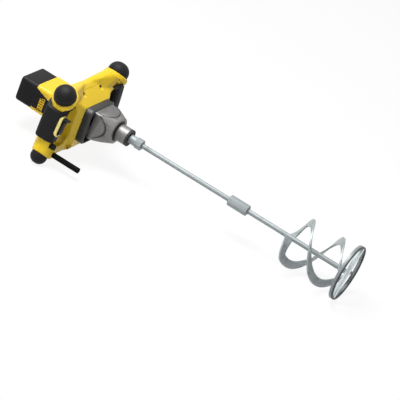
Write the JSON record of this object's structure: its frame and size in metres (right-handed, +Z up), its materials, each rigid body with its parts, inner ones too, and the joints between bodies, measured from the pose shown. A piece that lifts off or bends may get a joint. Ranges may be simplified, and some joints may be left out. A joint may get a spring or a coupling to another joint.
{
  "type": "mixing drill",
  "caption": "Hand-held electric paddle mixer with a frame handle, corner bumpers, gearbox with clamping neck and a helical mixing paddle with an end ring.",
  "frame": {"origin": "on the spindle axis, in the front face of the clamping neck", "axes": "+X along the spindle towards the paddle's ring, +Y across the handles away from the trigger, +Z up as the tool lies on its lower bumpers"},
  "size_m": [0.922, 0.33, 0.2083],
  "materials": {
    "shell_yellow": "semi-gloss moulded",
    "black_rubber": "matt",
    "black_plastic": "fine textured",
    "plate_paint": "satin painted casting",
    "case_aluminium": "as cast",
    "machined_steel": "machined",
    "zinc_steel": "zinc plated",
    "laminations": "varnished laminations",
    "copper": "enamelled wire",
    "bush_bronze": "sintered"
  },
  "bodies": {
    "housing": {"front_shell": "shell_yellow", "rear_shell": "shell_yellow", "trigger_bezel": "shell_yellow", "left_upper_bumper": "black_rubber", "left_lower_bumper": "black_rubber", "right_upper_bumper": "black_rubber", "right_lower_bumper": "black_rubber", "trigger_grip": "black_rubber", "plain_grip": "black_rubber", "cord_guard": "black_rubber", "shaft_seal": "black_rubber", "motor_cover": "black_plastic", "switch_body": "black_plastic", "left_brush_holder": "black_plastic", "right_brush_holder": "black_plastic", "left_carbon_brush": "black_plastic", "right_carbon_brush": "black_plastic", "gearbox_plate": "plate_paint", "gearbox_case": "case_aluminium", "spindle_bearing": "machined_steel", "countershaft_rear_bearing": "machined_steel", "countershaft_front_bearing": "machined_steel", "armature_front_bearing": "machined_steel", "armature_rear_bearing": "machined_steel", "shell_screw_1": "machined_steel", "shell_screw_2": "machined_steel", "shell_screw_3": "machined_steel", "shell_screw_4": "machined_steel", "shell_screw_5": "machined_steel", "shell_screw_6": "machined_steel", "plate_screw_1": "machined_steel", "plate_screw_2": "machined_steel", "plate_screw_3": "machined_steel", "plate_screw_4": "machined_steel", "stator_core": "laminations", "upper_field_coil": "copper", "lower_field_coil": "copper", "spindle_bush": "bush_bronze"},
    "spindle": {"spindle": "machined_steel", "spindle_gear": "machined_steel", "upper_rod": "zinc_steel", "lower_rod": "zinc_steel", "stem_hex": "zinc_steel", "rod_coupling": "zinc_steel", "paddle_ring": "zinc_steel", "cross_bar": "zinc_steel", "first_ribbon": "zinc_steel", "second_ribbon": "zinc_steel"},
    "countershaft": {"countershaft": "machined_steel", "countershaft_gear": "machined_steel", "countershaft_pinion": "machined_steel"},
    "armature": {"motor_pinion": "machined_steel", "armature_shaft": "machined_steel", "armature_core": "laminations", "armature_front_winding": "copper", "armature_rear_winding": "copper", "commutator": "copper", "cooling_fan": "black_plastic"},
    "trigger": {"trigger": "black_plastic"},
    "lock_button": {"lock_button": "black_plastic"}
  },
  "joints": [
    {"name": "spindle_spin", "type": "hinge", "parent": "housing", "child": "spindle", "pos_m": [0, 0, 0], "axis": [1, 0, 0], "continuous": true},
    {"name": "countershaft_spin", "type": "hinge", "parent": "housing", "child": "countershaft", "pos_m": [-0.1, 0.02377, -0.02028], "axis": [1, 0, 0], "continuous": true},
    {"name": "armature_spin", "type": "hinge", "parent": "housing", "child": "armature", "pos_m": [-0.12, 0, -0.017], "axis": [1, 0, 0], "continuous": true},
    {"name": "trigger_pull", "type": "slide", "parent": "housing", "child": "trigger", "axis": [-1, 0, 0], "range_m": [0, 0.006], "stiffness_N_per_m": 900, "springref_m": -0.003},
    {"name": "lock_push", "type": "slide", "parent": "housing", "child": "lock_button", "axis": [-1, 0, 0], "range_m": [0, 0.003], "stiffness_N_per_m": 900, "springref_m": -0.002}
  ],
  "couplings": [
    {"joint": "countershaft_spin", "follows": "spindle_spin", "ratio": -3.5455},
    {"joint": "armature_spin", "follows": "spindle_spin", "ratio": 15.364}
  ]
}
